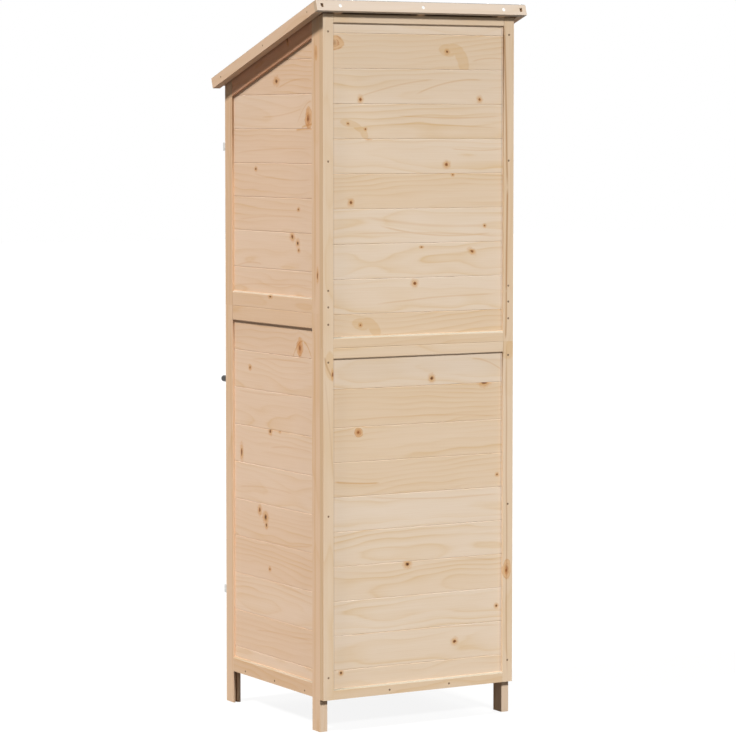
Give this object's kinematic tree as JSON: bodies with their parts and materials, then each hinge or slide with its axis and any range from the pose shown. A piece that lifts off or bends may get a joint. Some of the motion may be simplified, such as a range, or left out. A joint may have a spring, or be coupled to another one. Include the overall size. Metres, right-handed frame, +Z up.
{
  "type": "garden shed",
  "caption": "Tall narrow garden shed of untreated pine boards in frames, with a sloping felted roof, four legs, a hinged door and turn catches.",
  "frame": {"origin": "on the ground, under the middle of the shed's whole outline", "axes": "+Z up, door towards -Y, tall rear wall towards +Y, +X to the right as seen from the front"},
  "size_m": [0.585, 0.5482, 1.7416],
  "materials": {
    "pine_frame": "planed untreated pine, grain along the piece",
    "pine_rear_boards": "planed untreated pine boards with knots",
    "pine_side_boards": "planed untreated pine boards with knots",
    "pine_fascia": "planed pale pine",
    "pine_deck": "planed untreated pine boards",
    "roofing_felt": "bitumen felt with fine mineral grit",
    "zinc_steel": "zinc plated pressed steel",
    "screw_steel": "zinc plated screws",
    "black_plastic": "satin black moulded plastic"
  },
  "bodies": {
    "shed": {"right_lower_front_stile": "pine_frame", "right_lower_rear_stile": "pine_frame", "right_lower_top_rail": "pine_frame", "right_lower_bottom_rail": "pine_frame", "right_lower_boards": "pine_side_boards", "right_upper_front_stile": "pine_frame", "right_upper_rear_stile": "pine_frame", "right_upper_top_rail": "pine_frame", "right_upper_bottom_rail": "pine_frame", "right_upper_boards": "pine_side_boards", "left_lower_front_stile": "pine_frame", "left_lower_rear_stile": "pine_frame", "left_lower_top_rail": "pine_frame", "left_lower_bottom_rail": "pine_frame", "left_lower_boards": "pine_side_boards", "left_upper_front_stile": "pine_frame", "left_upper_rear_stile": "pine_frame", "left_upper_top_rail": "pine_frame", "left_upper_bottom_rail": "pine_frame", "left_upper_boards": "pine_side_boards", "rear_lower_stiles": "pine_frame", "rear_lower_top_rail": "pine_frame", "rear_lower_bottom_rail": "pine_frame", "rear_lower_boards": "pine_rear_boards", "rear_upper_stiles": "pine_frame", "rear_upper_top_rail": "pine_frame", "rear_upper_bottom_rail": "pine_frame", "rear_upper_boards": "pine_rear_boards", "front_sill": "pine_frame", "front_header": "pine_frame", "floor_cleats": "pine_frame", "floor_boards": "pine_deck", "roof_right_fascia": "pine_fascia", "roof_left_fascia": "pine_fascia", "roof_rear_fascia": "pine_fascia", "roof_front_fascia": "pine_fascia", "roof_rafters": "pine_frame", "roof_boards": "pine_deck", "roof_felt": "roofing_felt", "wall_screws": "screw_steel", "floor_screws": "screw_steel", "roof_screws": "screw_steel", "felt_nails": "screw_steel", "hinge_frame_leaves": "zinc_steel", "hinge_pins": "zinc_steel", "hinge_frame_screws": "screw_steel", "pivot_bolts": "screw_steel"},
    "door": {"door_hinge_stile": "pine_frame", "door_latch_stile": "pine_frame", "door_top_rail": "pine_frame", "door_middle_rail": "pine_frame", "door_bottom_rail": "pine_frame", "door_boards": "pine_side_boards", "door_knob": "black_plastic", "hinge_door_leaves": "zinc_steel", "hinge_door_screws": "screw_steel"},
    "latch": {"latch_knob": "black_plastic", "latch_tongue": "zinc_steel"},
    "upper_button": {"upper_turn_button": "zinc_steel"},
    "lower_button": {"lower_turn_button": "zinc_steel"}
  },
  "joints": [
    {"name": "door_hinge", "type": "hinge", "parent": "shed", "child": "door", "pos_m": [-0.2454, -0.24666, 0.8], "axis": [0, 0, -1], "range_deg": [0, 165]},
    {"name": "latch_turn", "type": "hinge", "parent": "shed", "child": "latch", "pos_m": [0.257, -0.24306, 0.813], "axis": [0, 1, 0], "range_deg": [0, 90]},
    {"name": "upper_button_turn", "type": "hinge", "parent": "shed", "child": "upper_button", "pos_m": [0.254, -0.24306, 1.3995], "axis": [0, 1, 0], "range_deg": [0, 90]},
    {"name": "lower_button_turn", "type": "hinge", "parent": "shed", "child": "lower_button", "pos_m": [0.254, -0.24306, 0.288], "axis": [0, 1, 0], "range_deg": [0, 90]}
  ]
}
